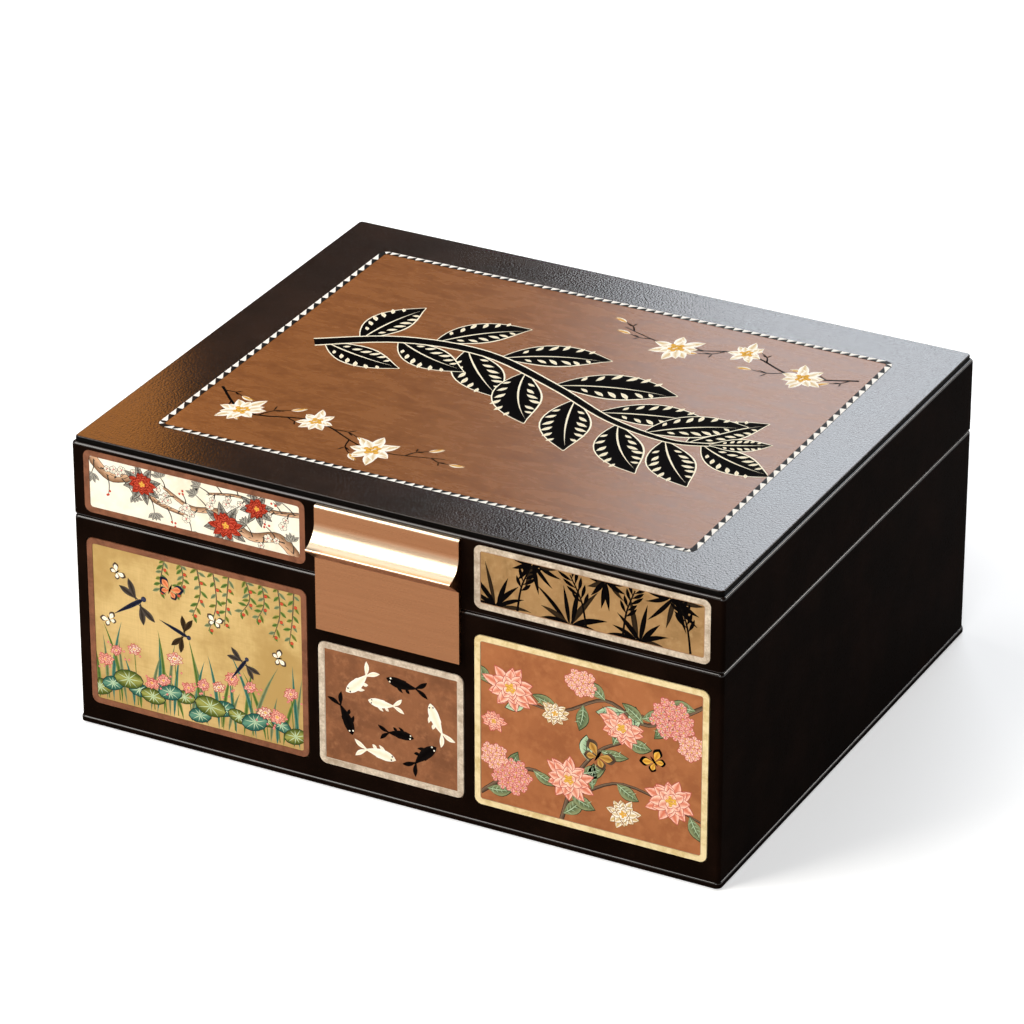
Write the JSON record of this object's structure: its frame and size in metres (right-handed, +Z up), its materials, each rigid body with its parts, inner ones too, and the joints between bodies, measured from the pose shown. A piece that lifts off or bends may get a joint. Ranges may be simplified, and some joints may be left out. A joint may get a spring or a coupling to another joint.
{
  "type": "keepsake box with drawers",
  "caption": "Leather-covered keepsake box with a hinged lid over a divided tray, flush push-open drawers in the front and a flared metal pull clasp.",
  "frame": {"origin": "on the resting plane, under the middle of the box body", "axes": "+X to the right seen from the front, +Y to the back where the hinges are, +Z up"},
  "size_m": [0.281, 0.2453, 0.1265],
  "materials": {
    "leather_black": "fine grained, semi-matt",
    "board": "sanded fibreboard",
    "felt_black": "pressed felt",
    "drawer_wood": "stained, satin",
    "velvet_brown": "short pile",
    "suede_brown": "mottled suede",
    "banding_cream": "two-tone triangles, matt",
    "border_russet": "matt",
    "border_beige": "matt",
    "border_gold": "matt",
    "picture_cream": "printed, matt",
    "picture_khaki": "printed, matt",
    "picture_ochre": "printed, matt",
    "picture_umber": "printed, matt",
    "picture_terracotta": "printed, matt",
    "rose_gold": "brushed rose gold plate",
    "hinge_gold": "satin plate",
    "steel": "plain",
    "magnet": "nickel plated",
    "latch_black": "moulded",
    "latch_grey": "moulded",
    "mirror_glass": "silvered"
  },
  "bodies": {
    "base": {"underside_felt": "felt_black", "bottom_board": "leather_black", "base_front_board": "board", "base_back_board": "board", "base_left_board": "board", "base_right_board": "board", "base_leather": "leather_black", "drawer_partitions": "board", "deck_board": "board", "centre_shelf": "board", "drawer_runners": "drawer_wood", "drawer_stops": "drawer_wood", "latch_housings": "latch_black", "clasp_magnets": "magnet", "collar_long_rails": "velvet_brown", "collar_side_rails": "velvet_brown", "tray_lining": "velvet_brown", "tray_dividers": "velvet_brown", "ring_rolls": "velvet_brown", "hinge_base_leaves": "hinge_gold", "hinge_pins": "hinge_gold", "hinge_base_screws": "hinge_gold"},
    "lid": {"lid_front_board": "board", "lid_back_board": "board", "lid_left_board": "board", "lid_right_board": "board", "lid_leather": "leather_black", "lid_top_board": "board", "lid_top_leather": "leather_black", "top_panel": "suede_brown", "top_banding": "banding_cream", "lid_left_border": "border_russet", "lid_left_picture": "picture_cream", "lid_right_border": "border_beige", "lid_right_picture": "picture_khaki", "lid_lining": "velvet_brown", "lid_mirror": "mirror_glass", "mirror_frame": "leather_black", "clasp": "rose_gold", "clasp_screws": "steel", "hinge_lid_leaves": "hinge_gold", "hinge_lid_screws": "hinge_gold"},
    "drawer_left": {"drawer_left_front": "leather_black", "drawer_left_border": "border_russet", "drawer_left_picture": "picture_ochre", "drawer_left_box": "drawer_wood", "drawer_left_lining": "velvet_brown"},
    "drawer_centre": {"drawer_centre_front": "leather_black", "drawer_centre_border": "border_beige", "drawer_centre_picture": "picture_umber", "drawer_centre_box": "drawer_wood", "drawer_centre_lining": "velvet_brown"},
    "drawer_right": {"drawer_right_front": "leather_black", "drawer_right_border": "border_gold", "drawer_right_picture": "picture_terracotta", "drawer_right_box": "drawer_wood", "drawer_right_lining": "velvet_brown"},
    "latch_left": {"latch_plunger_left": "latch_grey"},
    "latch_centre": {"latch_plunger_centre": "latch_grey"},
    "latch_right": {"latch_plunger_right": "latch_grey"}
  },
  "joints": [
    {"name": "lid_hinge", "type": "hinge", "parent": "base", "child": "lid", "pos_m": [0, 0.1178, 0.0926], "axis": [-1, 0, 0], "range_deg": [0, 95]},
    {"name": "drawer_left_slide", "type": "slide", "parent": "base", "child": "drawer_left", "axis": [0, -1, 0], "range_m": [0, 0.13]},
    {"name": "drawer_centre_slide", "type": "slide", "parent": "base", "child": "drawer_centre", "axis": [0, -1, 0], "range_m": [0, 0.13]},
    {"name": "drawer_right_slide", "type": "slide", "parent": "base", "child": "drawer_right", "axis": [0, -1, 0], "range_m": [0, 0.13]},
    {"name": "latch_left_slide", "type": "slide", "parent": "base", "child": "latch_left", "axis": [0, -1, 0], "range_m": [0, 0.0104]},
    {"name": "latch_centre_slide", "type": "slide", "parent": "base", "child": "latch_centre", "axis": [0, -1, 0], "range_m": [0, 0.0104]},
    {"name": "latch_right_slide", "type": "slide", "parent": "base", "child": "latch_right", "axis": [0, -1, 0], "range_m": [0, 0.0104]}
  ],
  "couplings": [
    {"joint": "latch_left_slide", "follows": "drawer_left_slide", "ratio": 0.08},
    {"joint": "latch_centre_slide", "follows": "drawer_centre_slide", "ratio": 0.08},
    {"joint": "latch_right_slide", "follows": "drawer_right_slide", "ratio": 0.08}
  ]
}
